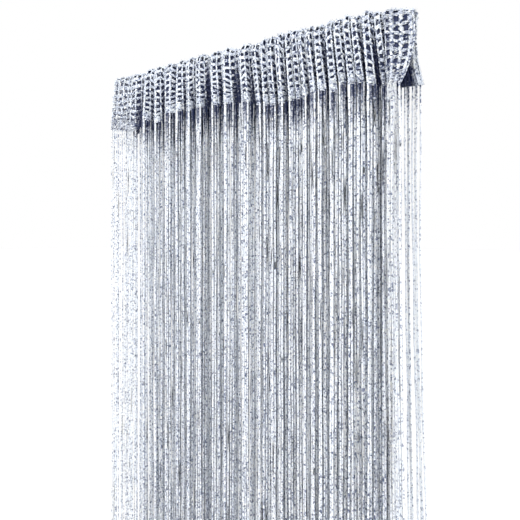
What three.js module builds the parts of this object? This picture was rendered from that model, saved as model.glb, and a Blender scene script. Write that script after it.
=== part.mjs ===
// A string door curtain: one length of knitted openwork, folded over along its top edge and gathered
// into uneven pleats, with a comb of strings hanging from each of its two hems.
// Millimetres. X runs along the curtain, -Y is its front, +Z is up, and the origin is the middle of
// the top edge.

import * as THREE from 'three';

// ---------------------------------------------------------------- driving sizes, in millimetres

const DROP = 2000;            // from the top edge to the string ends
const HEADING_HEIGHT = 82;    // from the top edge to the mean line of the hems
const CLOTH = 1.6;            // thickness of the knitted heading
const TOP_REACH = 9;          // radius of the fold over the top, at the middle of the cloth
const HEM_REACH = 16;         // from the middle plane to the mean line of either hem
const TOP_SHARE = 0.4;        // how much of a ridge is left at the shoulder
const CREST_SHARE = 0.6;      // how much of a shoulder's ridge or furrow is left on top
const TALLEST_RIDGE = 7.5;    // the ridge that reaches the top edge's height
const WALE = 9.4;             // one column of the knitting, along the cloth; a string hangs from each
const SLACK_WALE = 11.5;      // the same in the plain panel at the left end, which isn't gathered
const SLACK_LENGTH = 75;      // length of cloth in that panel
const DRAWN_WALE = 4.2;       // the same in the last panel, whose hem is drawn in and whose top fans out
const DRAWN_LENGTH = 13;      // length of cloth in that panel, along its hem
const SELVEDGE = 2.2;         // from either end of the cloth to its outermost wale
const STRING = 2.2;           // width of a string along the hem; it is as thick as the cloth
const SPINE = 2;              // height of the strip that joins the strings of a hem
const GAP = 0.3;              // between the heading's hem and the comb under it
const END_SPREAD = 4;         // the most that one string ends above another
const END_WAVE = 1.7;         // how far the wave that spreads the string ends turns from one to the next
const COLUMN_PITCH = 6.6;     // length of cloth to each column of the solids
const LENGTH_STEPS = 6;       // steps from one column to the next in which the cloth is measured

// One row for each pleat of the front, from left to right, in millimetres.
// span: its share of the hung width. at: where its ridge stands in that span, from 0 to 1.
// ridge: how far the ridge stands out of the cloth's mean line at the hem. furrow: how far the furrow
// after it sinks in at the hem, and furrowTop at the shoulder. lean: how much further to the right
// the ridge and the furrow are at the hem than at the top. dip: how far the top edge sinks over the
// ridge. drop: how far the ridge's hem hangs below the mean line of the hems. The last pleat has no
// furrow, for the cloth ends there.
const PLEATS = [
  { span: 34.0, at: 0.47, ridge: 3.5, furrow: -0.5, furrowTop: 0.5, lean: -1, dip: 0.0, drop: -1.0 },
  { span: 33.0, at: 0.42, ridge: 1.5, furrow: 7.5, furrowTop: 3.0, lean: 4, dip: 0.0, drop: 6.0 },
  { span: 22.0, at: 0.50, ridge: 7.0, furrow: 5.5, furrowTop: 2.5, lean: 7, dip: 0.0, drop: -6.0 },
  { span: 21.5, at: 0.51, ridge: 7.0, furrow: 8.5, furrowTop: 2.5, lean: 9, dip: 0.0, drop: 2.0 },
  { span: 20.5, at: 0.51, ridge: 6.5, furrow: 0.5, furrowTop: 5.0, lean: 9, dip: 0.0, drop: -9.0 },
  { span: 19.0, at: 0.51, ridge: 5.5, furrow: 6.0, furrowTop: 3.0, lean: 9, dip: 0.0, drop: -9.5 },
  { span: 18.0, at: 0.53, ridge: 7.0, furrow: 6.0, furrowTop: 3.0, lean: 10, dip: 0.0, drop: -7.0 },
  { span: 21.0, at: 0.43, ridge: 7.5, furrow: 8.5, furrowTop: 3.5, lean: 10, dip: 0.0, drop: -8.0 },
  { span: 22.5, at: 0.59, ridge: 6.0, furrow: 6.0, furrowTop: 2.5, lean: 10, dip: 0.0, drop: -7.5 },
  { span: 23.5, at: 0.40, ridge: 7.0, furrow: 6.5, furrowTop: 3.0, lean: 11, dip: 0.5, drop: -6.0 },
  { span: 23.0, at: 0.69, ridge: 7.5, furrow: 5.5, furrowTop: 3.0, lean: 12, dip: 1.5, drop: -4.0 },
  { span: 14.0, at: 0.54, ridge: 2.0, furrow: 8.0, furrowTop: 2.5, lean: 12, dip: 3.5, drop: 1.5 },
  { span: 11.0, at: 0.58, ridge: 6.0, furrow: 3.5, furrowTop: 2.5, lean: 12, dip: 1.5, drop: 5.0 },
  { span: 10.0, at: 0.39, ridge: 5.0, furrow: 5.5, furrowTop: 3.0, lean: 12, dip: 1.0, drop: 5.5 },
  { span: 14.0, at: 0.49, ridge: 7.0, furrow: 6.0, furrowTop: 3.0, lean: 12, dip: 0.0, drop: 5.5 },
  { span: 10.0, at: 0.65, ridge: 6.0, furrow: 3.5, furrowTop: 2.0, lean: 12, dip: 0.0, drop: 4.5 },
  { span: 8.0, at: 0.44, ridge: 3.5, furrow: 4.0, furrowTop: 2.5, lean: 12, dip: 0.0, drop: 3.5 },
  { span: 9.5, at: 0.47, ridge: 5.5, furrow: 5.0, furrowTop: 2.5, lean: 12, dip: 1.0, drop: 2.5 },
  { span: 10.5, at: 0.49, ridge: 5.5, furrow: 7.5, furrowTop: 3.0, lean: 12, dip: 1.5, drop: -1.5 },
  { span: 13.0, at: 0.44, ridge: 6.5, furrow: 8.0, furrowTop: 3.5, lean: 12, dip: 2.5, drop: -0.5 },
  { span: 12.0, at: 0.65, ridge: 7.5, furrow: 4.5, furrowTop: 2.5, lean: 12, dip: 2.0, drop: 4.0 },
  { span: 10.0, at: 0.38, ridge: 4.5, furrow: 5.0, furrowTop: 2.5, lean: 12, dip: 1.0, drop: -3.5 },
  { span: 10.5, at: 0.55, ridge: 6.5, furrow: 6.0, furrowTop: 3.0, lean: 12, dip: 0.5, drop: -1.5 },
  { span: 10.5, at: 0.41, ridge: 6.0, furrow: 7.0, furrowTop: 3.0, lean: 12, dip: 3.5, drop: -1.0 },
  { span: 12.5, at: 0.46, ridge: 7.5, furrow: 8.0, furrowTop: 3.0, lean: 11, dip: 2.0, drop: 4.0 },
  { span: 9.5, at: 0.52, ridge: 0.5, furrow: 9.0, furrowTop: 3.5, lean: 12, dip: 3.5, drop: 5.0 },
  { span: 24.5, at: 0.18, ridge: 6.5, lean: 8, dip: 6.0, drop: 6.0 },
];

// The two free edges: lean is the front's, and the back hem's edge leans by leanBack. late is 1 where
// the edge leans evenly from its top to its hem, and more where it leans mostly near the hem. bulge is
// how far the front's edge swells to the right half way down, and bulgeBack how far the back's does.
const LEFT_EDGE = {
  out: 2,
  outTop: 2.5,
  lean: -3,
  leanBack: -2,
  late: 1,
  bulge: 0,
  bulgeBack: 0,
  dip: 0,
  drop: -4,
};
const RIGHT_EDGE = {
  out: 5,
  outTop: 1.5,
  lean: -7,
  leanBack: 1,
  late: 2.2,
  bulge: 3.5,
  bulgeBack: -3,
  dip: 11.5,
  drop: 6,
};

// How the back layer differs: its pleats start from the same lines over the top, and swell, lean and
// hang by their own amounts, which a wave spreads along the row.
const BACK = { depth: 0.85, depthWave: 0.15, lean: 0.5, drop: 0, dropWave: 3, step: 2.1 };

// The sleeve near its ends: topReach and hemReach are from the middle plane, at the end itself, and
// length is how far along they take to become those of the rest. flare bends the way between them:
// under 1 the layers part soon below the top, and over 1 they stay together to lower down.
const FLARE = 0.7;
const LEFT_END = { length: 60, topReach: 7, hemReach: 11, flare: 0.7 };
const RIGHT_END = { length: 50, topReach: 4, hemReach: 15.5, flare: 1.5 };

// ---------------------------------------------------------------- the pleats

const HUNG_WIDTH = PLEATS.reduce((sum, pleat) => sum + pleat.span, 0);
const NO_BULGE = { front: 0, back: 0 };

/** An edge of the cloth as a turning line. */
function edgeLine(x, edge) {
  return {
    x,
    outTop: edge.outTop,
    out: { front: edge.out, back: edge.out },
    topX: x - edge.lean / 2,
    lean: { front: edge.lean, back: edge.leanBack },
    late: edge.late,
    bulge: { front: edge.bulge, back: edge.bulgeBack },
    dip: edge.dip,
    drop: { front: edge.drop, back: BACK.drop },
  };
}

/** The lines along which the cloth turns: the left edge, each pleat's ridge and furrow, the right edge. */
function turningLines() {
  const lines = [edgeLine(-HUNG_WIDTH / 2, LEFT_EDGE)];
  let left = -HUNG_WIDTH / 2;
  PLEATS.forEach((pleat, i) => {
    const wave = Math.cos(BACK.step * i);
    const behind = BACK.depth + BACK.depthWave * wave;
    const lean = { front: pleat.lean, back: pleat.lean * BACK.lean };
    const ridge = left + pleat.span * pleat.at;
    left += pleat.span;
    lines.push({
      x: ridge,
      outTop: pleat.ridge * TOP_SHARE,
      out: { front: pleat.ridge, back: pleat.ridge * behind },
      topX: ridge - pleat.lean / 2,
      lean,
      late: 1,
      bulge: NO_BULGE,
      dip: pleat.dip,
      drop: { front: pleat.drop, back: BACK.drop + BACK.dropWave * wave },
    });
    const next = PLEATS[i + 1];
    if (next) {
      lines.push({
        x: left,
        outTop: -pleat.furrowTop,
        out: { front: -pleat.furrow, back: -pleat.furrow * behind },
        topX: left - pleat.lean / 2,
        lean,
        late: 1,
        bulge: NO_BULGE,
        dip: (pleat.dip + next.dip) / 2,
        drop: { front: (pleat.drop + next.drop) / 2, back: BACK.drop },
      });
    }
  });
  return [...lines, edgeLine(HUNG_WIDTH / 2, RIGHT_EDGE)];
}

const LINES = turningLines();

const mix = THREE.MathUtils.lerp;
const ease = THREE.MathUtils.smoothstep;

/** How far the cloth's mean line is from the middle plane at the top and at the hem, and how it flares. */
function sleeveAt(x) {
  const left = 1 - ease(x, -HUNG_WIDTH / 2, -HUNG_WIDTH / 2 + LEFT_END.length);
  const right = ease(x, HUNG_WIDTH / 2 - RIGHT_END.length, HUNG_WIDTH / 2);
  const blend = (middle, key) => middle + left * (LEFT_END[key] - middle) + right * (RIGHT_END[key] - middle);
  return {
    top: blend(TOP_REACH, 'topReach'),
    hem: blend(HEM_REACH, 'hemReach'),
    flare: blend(FLARE, 'flare'),
  };
}

// Between a ridge and a furrow a gathered cloth swings over as a sine-generated curve: along its own
// length its direction turns by bend * sin(pi * u), so that it leaves and arrives level.
const SWING_STEPS = 24;
const MAX_BEND = 1.8;
const HALVINGS = 30;

/** Where the swing has got to after the share u of its length, and its direction there. */
function swing(bend, u) {
  const place = { run: 0, rise: 0, turn: bend * Math.sin(Math.PI * u) };
  for (let i = 0; i < SWING_STEPS; i++) {
    const turn = bend * Math.sin(Math.PI * u * (i + 0.5) / SWING_STEPS);
    place.run += Math.cos(turn) * u / SWING_STEPS;
    place.rise += Math.sin(turn) * u / SWING_STEPS;
  }
  return place;
}

/** The bend with which the swing goes run along and rise out, by halving. */
function bendFor(run, rise) {
  let low = 0;
  let high = MAX_BEND;
  for (let i = 0; i < HALVINGS; i++) {
    const bend = (low + high) / 2;
    const end = swing(bend, 1);
    if (end.rise * run < rise * end.run) low = bend;
    else high = bend;
  }
  return low;
}

// A level is a line along the cloth: side is 'front' or 'back', fall goes from 0 at the shoulder to 1
// at the hem, and lift is the angle over the top, from 0 at the shoulder to a right angle on top.

/** A turning line at a level: its place along the curtain, how far it stands out and how far it hangs. */
function lineAt(line, level) {
  const bulge = line.bulge[level.side] * Math.sin(Math.PI * level.fall);
  return {
    x: line.topX + line.lean[level.side] * level.fall ** line.late + bulge,
    out: mix(line.outTop, line.out[level.side], level.fall) * mix(1, CREST_SHARE, Math.sin(level.lift)),
    dip: line.dip,
    drop: line.drop[level.side],
  };
}

/** The half pleat between turning lines number k and k + 1 at a level. */
function halfPleat(level, k) {
  const from = lineAt(LINES[k], level);
  const to = lineAt(LINES[k + 1], level);
  const run = to.x - from.x;
  const rise = to.out - from.out;
  const bend = bendFor(run, Math.abs(rise));
  const end = swing(bend, 1);
  const alongScale = run / end.run;
  const outScale = end.rise > 0 ? rise / end.rise : 0;
  return { from, to, bend, alongScale, outScale };
}

/** The cloth at the share u of the way from turning line k to the next, offset out of its middle. */
function clothPoint(level, k, u, offset) {
  const { from, to, bend, alongScale, outScale } = halfPleat(level, k);
  const here = swing(bend, u);
  const direction = new THREE.Vector2(
    Math.cos(here.turn) * alongScale,
    Math.sin(here.turn) * outScale,
  ).normalize();
  const x = from.x + here.run * alongScale - direction.y * offset;
  const out = from.out + here.rise * outScale + direction.x * offset;
  const sleeve = sleeveAt(mix(LINES[k].x, LINES[k + 1].x, u));
  const crown = sleeve.top + TALLEST_RIDGE * TOP_SHARE * CREST_SHARE + CLOTH / 2;
  const shoulder = -(crown + mix(from.dip, to.dip, u));
  const toSide = level.side === 'front' ? -1 : 1;
  if (level.lift > 0) {
    const radius = sleeve.top + out;
    return new THREE.Vector3(
      x,
      toSide * radius * Math.cos(level.lift),
      shoulder + radius * Math.sin(level.lift),
    );
  }
  const hem = -HEADING_HEIGHT - mix(from.drop, to.drop, u);
  return new THREE.Vector3(
    x,
    toSide * (mix(sleeve.top, sleeve.hem, level.fall ** sleeve.flare) + out),
    mix(shoulder, hem, level.fall),
  );
}

const HEM = { front: { side: 'front', fall: 1, lift: 0 }, back: { side: 'back', fall: 1, lift: 0 } };

/** The solids' columns, from left to right: a turning line's number and a share of the way to the next. */
function columns() {
  const list = [];
  for (let k = 0; k + 1 < LINES.length; k++) {
    const { alongScale } = halfPleat(HEM.front, k);
    const steps = Math.max(2, Math.round(alongScale / COLUMN_PITCH));
    for (let i = 0; i < steps; i++) list.push({ k, u: i / steps });
  }
  list.push({ k: LINES.length - 2, u: 1 });
  return list;
}

const COLUMNS = columns();

// ---------------------------------------------------------------- solids

/** A closed solid gathered face by face, from points that its faces share. */
class Shell {
  constructor() {
    this.places = [];
    this.index = [];
  }

  point(v) {
    this.places.push(v.x, v.y, v.z);
    return this.places.length / 3 - 1;
  }

  triangle(a, b, c) {
    this.index.push(a, b, c);
  }

  quad(a, b, c, d) {
    this.index.push(a, b, c, a, c, d);
  }

  mesh(name, material) {
    const geometry = new THREE.BufferGeometry();
    geometry.setAttribute('position', new THREE.Float32BufferAttribute(this.places, 3));
    geometry.setIndex(this.index);
    geometry.computeVertexNormals();
    const mesh = new THREE.Mesh(geometry, material);
    mesh.name = name;
    return mesh;
  }
}

// The levels of the heading's solid, from the front hem over the top to the back hem.
const LEVELS = [
  HEM.front,
  { side: 'front', fall: 0.6, lift: 0 },
  { side: 'front', fall: 0.25, lift: 0 },
  { side: 'front', fall: 0, lift: 0 },
  { side: 'front', fall: 0, lift: Math.PI / 4 },
  { side: 'front', fall: 0, lift: Math.PI / 2 },
  { side: 'back', fall: 0, lift: Math.PI / 4 },
  { side: 'back', fall: 0, lift: 0 },
  { side: 'back', fall: 0.45, lift: 0 },
  HEM.back,
];

/** The pleated heading: an outer and an inner skin, closed along both hems and both ends. */
function heading(material) {
  const shell = new Shell();
  const skin = (offset) => COLUMNS.map(({ k, u }) =>
    LEVELS.map((level) => shell.point(clothPoint(level, k, u, offset))));
  const outer = skin(CLOTH / 2);
  const inner = skin(-CLOTH / 2);
  const last = COLUMNS.length - 1;
  const lastLevel = LEVELS.length - 1;
  for (let i = 0; i < last; i++) {
    for (let j = 0; j < lastLevel; j++) {
      shell.quad(outer[i][j], outer[i + 1][j], outer[i + 1][j + 1], outer[i][j + 1]);
      shell.quad(inner[i][j], inner[i][j + 1], inner[i + 1][j + 1], inner[i + 1][j]);
    }
    shell.quad(inner[i][0], inner[i + 1][0], outer[i + 1][0], outer[i][0]);
    shell.quad(inner[i][lastLevel], outer[i][lastLevel], outer[i + 1][lastLevel], inner[i + 1][lastLevel]);
  }
  for (let j = 0; j < lastLevel; j++) {
    shell.quad(outer[0][j], outer[0][j + 1], inner[0][j + 1], inner[0][j]);
    shell.quad(inner[last][j], inner[last][j + 1], outer[last][j + 1], outer[last][j]);
  }
  return shell.mesh('heading', material);
}

/** Where the wales stand: for each, the column before it and the share of the way to the next column. */
function waleList() {
  const hem = hemLine('front');
  const last = hem[hem.length - 1].along - SELVEDGE;
  const stands = [SELVEDGE];
  for (let at = SELVEDGE; at < last; stands.push(at)) {
    const pitch = mix(SLACK_WALE, WALE, ease(at, SLACK_LENGTH / 2, SLACK_LENGTH));
    at += mix(pitch, DRAWN_WALE, ease(at, last - 2 * DRAWN_LENGTH, last - DRAWN_LENGTH));
  }
  const fit = (last - SELVEDGE) / (stands[stands.length - 1] - SELVEDGE);
  let column = 0;
  return stands.map((at) => {
    const along = SELVEDGE + (at - SELVEDGE) * fit;
    while (hem[column + 1].along < along) column++;
    return { column, share: (along - hem[column].along) / (hem[column + 1].along - hem[column].along) };
  });
}

/** Two points of the hem's line at the length `along` it, one on each side of the cloth. */
function hemAt(hem, along) {
  let i = 1;
  while (i < hem.length - 1 && hem[i].along < along) i++;
  const share = (along - hem[i - 1].along) / (hem[i].along - hem[i - 1].along);
  return {
    along,
    outer: hem[i - 1].outer.clone().lerp(hem[i].outer, share),
    inner: hem[i - 1].inner.clone().lerp(hem[i].inner, share),
  };
}

/** The line that a comb follows: the hem's columns, with the length along the cloth up to each. */
function hemLine(side) {
  const hem = COLUMNS.map(({ k, u }) => ({
    outer: clothPoint(HEM[side], k, u, CLOTH / 2),
    inner: clothPoint(HEM[side], k, u, -CLOTH / 2),
  }));
  hem[0].along = 0;
  for (let i = 1; i < hem.length; i++) {
    hem[i].along = hem[i - 1].along + clothLength(HEM[side], COLUMNS[i - 1], COLUMNS[i]);
  }
  return hem;
}

/** The length of cloth from one column to the next, measured round its bends. */
function clothLength(level, from, to) {
  const end = to.k > from.k ? 1 : to.u;
  let length = 0;
  let last = clothPoint(level, from.k, from.u, 0);
  for (let i = 1; i <= LENGTH_STEPS; i++) {
    const next = clothPoint(level, from.k, mix(from.u, end, i / LENGTH_STEPS), 0);
    length += next.distanceTo(last);
    last = next;
  }
  return length;
}

/** One comb: a thin spine just under a hem, and a string below it at each wale of the cloth. */
function comb(name, side, material) {
  const shell = new Shell();
  const hem = hemLine(side);
  const lower = (v, fall) => shell.point(new THREE.Vector3(v.x, v.y, v.z - fall));
  const row = (stations, fall) => stations.map((s) => ({
    along: s.along,
    outer: lower(s.outer, fall),
    inner: lower(s.inner, fall),
  }));

  const feet = [hem[0]];
  for (const { column, share } of waleList()) {
    const middle = mix(hem[column].along, hem[column + 1].along, share);
    feet.push(hemAt(hem, middle - STRING / 2), hemAt(hem, middle + STRING / 2));
  }
  feet.push(hem[hem.length - 1]);

  const top = row(hem, GAP);
  const foot = row(feet, GAP + SPINE);
  // From the front, X runs to the right along the outer skin; seen from behind it runs to the left.
  const flip = side === 'back';
  const triangle = (a, b, c) => (flip ? shell.triangle(a, c, b) : shell.triangle(a, b, c));
  const quad = (a, b, c, d) => (flip ? shell.quad(a, d, c, b) : shell.quad(a, b, c, d));

  // The spine's two faces, each between the hem's stations above and the strings' edges below.
  let i = 0;
  let j = 0;
  while (i < top.length - 1 || j < foot.length - 1) {
    const overTop = j === foot.length - 1 || (i < top.length - 1 && top[i + 1].along <= foot[j + 1].along);
    if (overTop) {
      triangle(top[i].outer, foot[j].outer, top[i + 1].outer);
      triangle(top[i].inner, top[i + 1].inner, foot[j].inner);
      i++;
    } else {
      triangle(top[i].outer, foot[j].outer, foot[j + 1].outer);
      triangle(top[i].inner, foot[j + 1].inner, foot[j].inner);
      j++;
    }
  }
  for (let n = 0; n + 1 < top.length; n++) {
    quad(top[n].inner, top[n].outer, top[n + 1].outer, top[n + 1].inner);
  }
  for (let n = 0; n + 1 < foot.length; n += 2) {
    quad(foot[n].outer, foot[n].inner, foot[n + 1].inner, foot[n + 1].outer);
  }
  const lastTop = top[top.length - 1];
  const lastFoot = foot[foot.length - 1];
  quad(top[0].outer, top[0].inner, foot[0].inner, foot[0].outer);
  quad(lastTop.outer, lastFoot.outer, lastFoot.inner, lastTop.inner);

  for (let n = 1; n + 1 < foot.length; n += 2) {
    const end = -DROP + END_SPREAD * (1 + Math.sin(n * END_WAVE)) / 2;
    const reachDown = (v) => shell.point(new THREE.Vector3(v.x, v.y, end));
    const left = foot[n];
    const right = foot[n + 1];
    const leftEnd = { outer: reachDown(feet[n].outer), inner: reachDown(feet[n].inner) };
    const rightEnd = { outer: reachDown(feet[n + 1].outer), inner: reachDown(feet[n + 1].inner) };
    quad(left.outer, leftEnd.outer, rightEnd.outer, right.outer);
    quad(right.outer, rightEnd.outer, rightEnd.inner, right.inner);
    quad(right.inner, rightEnd.inner, leftEnd.inner, left.inner);
    quad(left.inner, leftEnd.inner, leftEnd.outer, left.outer);
    quad(leftEnd.outer, leftEnd.inner, rightEnd.inner, rightEnd.outer);
  }
  return shell.mesh(name, material);
}

// ---------------------------------------------------------------- the curtain

const knit = () => new THREE.MeshStandardMaterial({ color: 0xb9bfcc, roughness: 0.5, metalness: 0.3 });
const yarn = () => new THREE.MeshStandardMaterial({ color: 0xc6cbd6, roughness: 0.45, metalness: 0.35 });

const curtain = new THREE.Group();
curtain.add(heading(knit()));
curtain.add(comb('string_comb_front', 'front', yarn()));
curtain.add(comb('string_comb_back', 'back', yarn()));

export default curtain;
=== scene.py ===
"""A string door curtain: a gathered heading of knitted openwork, folded over along its top edge, with a
row of strings below each of its two hems.

The sizes of the folds are in millimetres, as in the part's source; what a user would change is in metres.
"""

import math

import bmesh
import bpy
import numpy as np
from bpy.props import FloatProperty, FloatVectorProperty, IntProperty, PointerProperty
from bpy.types import Operator, Panel, PropertyGroup
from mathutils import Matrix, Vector


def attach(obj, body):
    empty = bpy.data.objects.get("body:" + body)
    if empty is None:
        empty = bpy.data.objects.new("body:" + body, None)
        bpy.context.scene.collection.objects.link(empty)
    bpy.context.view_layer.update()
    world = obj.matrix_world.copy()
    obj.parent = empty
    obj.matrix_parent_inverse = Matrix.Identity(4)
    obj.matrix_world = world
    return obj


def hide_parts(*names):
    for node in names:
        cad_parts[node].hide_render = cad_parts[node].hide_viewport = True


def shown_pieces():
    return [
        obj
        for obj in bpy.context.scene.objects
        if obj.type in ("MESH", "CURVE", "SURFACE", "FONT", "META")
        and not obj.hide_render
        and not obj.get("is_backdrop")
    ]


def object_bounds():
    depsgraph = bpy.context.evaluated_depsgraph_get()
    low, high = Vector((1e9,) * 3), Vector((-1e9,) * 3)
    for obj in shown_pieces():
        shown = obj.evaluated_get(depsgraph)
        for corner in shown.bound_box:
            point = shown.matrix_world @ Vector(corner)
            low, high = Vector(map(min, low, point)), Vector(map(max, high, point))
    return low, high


bl_info = {
    "name": "String Door Curtain",
    "version": (1, 0, 0),
    "blender": (4, 5, 0),
    "location": "3D View > Sidebar > String Curtain",
    "description": "Knits, gathers and hangs a string curtain for a doorway",
    "category": "Object",
}

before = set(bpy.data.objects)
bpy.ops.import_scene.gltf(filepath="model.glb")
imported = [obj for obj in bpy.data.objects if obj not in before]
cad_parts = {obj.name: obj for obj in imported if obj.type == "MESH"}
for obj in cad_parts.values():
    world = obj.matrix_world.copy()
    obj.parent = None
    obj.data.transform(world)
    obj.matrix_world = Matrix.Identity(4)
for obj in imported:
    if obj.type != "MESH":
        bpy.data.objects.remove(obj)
CAD_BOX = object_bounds()
MM = 0.001
END_OF_STRINGS = CAD_BOX[0].z

# -------- the folds, in millimetres

HEADING_HEIGHT = 82  # from the top edge to the mean line of the hems
CLOTH = 1.6  # thickness of the heading
TOP_REACH = 9  # radius of the fold over the top
HEM_REACH = 16  # from the middle plane to the mean line of either hem
TOP_SHARE = 0.4  # how much of a ridge is left at the shoulder
CREST_SHARE = 0.6  # how much of that is left on top
TALLEST_RIDGE = 7.5  # of all the pleats, at the hem
WALE = 9.4  # one column of the knitting, along the cloth; a string hangs from each
SLACK_WALE = 11.5  # the same in the plain panel at the left end
SLACK_LENGTH = 75  # length of cloth in that panel
DRAWN_WALE = 4.2  # the same in the last panel, whose hem is drawn in
DRAWN_LENGTH = 13  # length of cloth in that panel, along its hem
SELVEDGE = 2.2  # from either end of the cloth to its outermost wale
END_SPREAD = 4  # the most that one string ends above another
MAX_BEND = 1.8  # radians that a fold's curve turns away from the cloth's line, at most
SWING_STEPS = 24  # to add it up in
LEVEL_RISE = 1e-9  # a stretch that rises less is level
STATIONS = 24  # at which each stretch between two turning lines is measured

# One row for each pleat of the front, from left to right, in millimetres.
# span: its share of the hung width. at: where its ridge stands in that span, from 0 to 1. ridge: how
# far the ridge stands out at the hem. furrow: how far the furrow after it sinks in at the hem, and
# furrow_top at the shoulder. lean: how much further right the hem is than the top. dip: how far the
# top edge sinks. drop: how far the hem hangs below the mean line of the hems.
PLEAT_COLUMNS = ("span", "at", "ridge", "furrow", "furrow_top", "lean", "dip", "drop")
PLEATS = [
    dict(zip(PLEAT_COLUMNS, row))
    for row in (
        (34, 0.47, 3.5, -0.5, 0.5, -1, 0, -1),
        (33, 0.42, 1.5, 7.5, 3, 4, 0, 6),
        (22, 0.5, 7, 5.5, 2.5, 7, 0, -6),
        (21.5, 0.51, 7, 8.5, 2.5, 9, 0, 2),
        (20.5, 0.51, 6.5, 0.5, 5, 9, 0, -9),
        (19, 0.51, 5.5, 6, 3, 9, 0, -9.5),
        (18, 0.53, 7, 6, 3, 10, 0, -7),
        (21, 0.43, 7.5, 8.5, 3.5, 10, 0, -8),
        (22.5, 0.59, 6, 6, 2.5, 10, 0, -7.5),
        (23.5, 0.4, 7, 6.5, 3, 11, 0.5, -6),
        (23, 0.69, 7.5, 5.5, 3, 12, 1.5, -4),
        (14, 0.54, 2, 8, 2.5, 12, 3.5, 1.5),
        (11, 0.58, 6, 3.5, 2.5, 12, 1.5, 5),
        (10, 0.39, 5, 5.5, 3, 12, 1, 5.5),
        (14, 0.49, 7, 6, 3, 12, 0, 5.5),
        (10, 0.65, 6, 3.5, 2, 12, 0, 4.5),
        (8, 0.44, 3.5, 4, 2.5, 12, 0, 3.5),
        (9.5, 0.47, 5.5, 5, 2.5, 12, 1, 2.5),
        (10.5, 0.49, 5.5, 7.5, 3, 12, 1.5, -1.5),
        (13, 0.44, 6.5, 8, 3.5, 12, 2.5, -0.5),
        (12, 0.65, 7.5, 4.5, 2.5, 12, 2, 4),
        (10, 0.38, 4.5, 5, 2.5, 12, 1, -3.5),
        (10.5, 0.55, 6.5, 6, 3, 12, 0.5, -1.5),
        (10.5, 0.41, 6, 7, 3, 12, 3.5, -1),
        (12.5, 0.46, 7.5, 8, 3, 11, 2, 4),
        (9.5, 0.52, 0.5, 9, 3.5, 12, 3.5, 5),
        (24.5, 0.18, 6.5, 0, 0, 8, 6, 6),
    )
]
# out and out_top: how far an edge of the cloth stands out at the hem and at the shoulder. lean: as for a
# pleat, in front and at the back. late: 1 where it leans evenly from its top to its hem, and more where
# it leans mostly low down. bulge: how far it swells to the right half way down, in front and at the
# back. dip and drop: as for a pleat.
EDGE_COLUMNS = ("out", "out_top", "lean", "late", "bulge", "dip", "drop")
LEFT_EDGE = dict(zip(EDGE_COLUMNS, (2, 2.5, (-3, -2), 1, (0, 0), 0, -4)))
RIGHT_EDGE = dict(zip(EDGE_COLUMNS, (5, 1.5, (-7, 1), 2.2, (3.5, -3), 11.5, 6)))
# The back layer's folds. depth and lean: as shares of the front's. drop: how far its hem hangs below
# the mean line of the hems. The waves are what depth and drop gain and lose from pleat to pleat, and
# step is how far the waves get in a pleat, in radians.
BACK = {"depth": 0.85, "depth_wave": 0.15, "lean": 0.5, "drop": 0, "drop_wave": 3, "step": 2.1}
# How the layers close up towards each end: over what length of the hung width, and how far from the
# middle plane they are there, at the top and at the hem. flare: under 1 where they part soon below the
# top, and over 1 where they part mostly low down.
FLARE = 0.7
LEFT_END = {"length": 60, "top": 7, "hem": 11, "flare": 0.7}
RIGHT_END = {"length": 50, "top": 4, "hem": 15.5, "flare": 1.5}
HUNG_WIDTH = sum(pleat["span"] for pleat in PLEATS)


def turning_line(x, out_top, out, lean, dip, drop, late=1, bulge=(0, 0)):
    """A line along which the cloth turns. A pair holds the front's value and the back's."""
    line = {"x": x, "top_x": x - lean[0] / 2, "out_top": out_top, "out": out, "lean": lean}
    return line | {"dip": dip, "drop": drop, "late": late, "bulge": bulge}


def edge_line(x, edge):
    """An edge of the cloth as a turning line."""
    out, drop = (edge["out"], edge["out"]), (edge["drop"], BACK["drop"])
    lean, late, bulge = edge["lean"], edge["late"], edge["bulge"]
    return turning_line(x, edge["out_top"], out, lean, edge["dip"], drop, late, bulge)


def turning_lines():
    """The left edge, each ridge and furrow, and the right edge."""
    lines = [edge_line(-HUNG_WIDTH / 2, LEFT_EDGE)]
    left = -HUNG_WIDTH / 2
    for i, pleat in enumerate(PLEATS):
        wave = math.cos(BACK["step"] * i)
        behind = BACK["depth"] + BACK["depth_wave"] * wave
        lean = (pleat["lean"], pleat["lean"] * BACK["lean"])
        x, out = left + pleat["span"] * pleat["at"], pleat["ridge"]
        drop = (pleat["drop"], BACK["drop"] + BACK["drop_wave"] * wave)
        lines.append(turning_line(x, out * TOP_SHARE, (out, out * behind), lean, pleat["dip"], drop))
        left += pleat["span"]
        if i + 1 < len(PLEATS):
            after, out = PLEATS[i + 1], -pleat["furrow"]
            dip = (pleat["dip"] + after["dip"]) / 2
            drop = ((pleat["drop"] + after["drop"]) / 2, BACK["drop"])
            lines.append(turning_line(left, -pleat["furrow_top"], (out, out * behind), lean, dip, drop))
    return lines + [edge_line(HUNG_WIDTH / 2, RIGHT_EDGE)]


LINES = turning_lines()
LINE = {key: np.array([line[key] for line in LINES], float) for key in LINES[0]}
# The ridges that stand around each line.
for key in ("out_top", "out"):
    LINE["around_" + key] = np.array([LINE[key][max(0, k - 2) : k + 3].max(0) for k in range(len(LINES))])


def mix(a, b, share):
    """What is that share of the way from a to b."""
    return a + (b - a) * share


def ease(x, low, high):
    """A smooth step, from 0 at low to 1 at high."""
    share = np.clip((x - low) / (high - low), 0, 1)
    return share * share * (3 - 2 * share)


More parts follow.
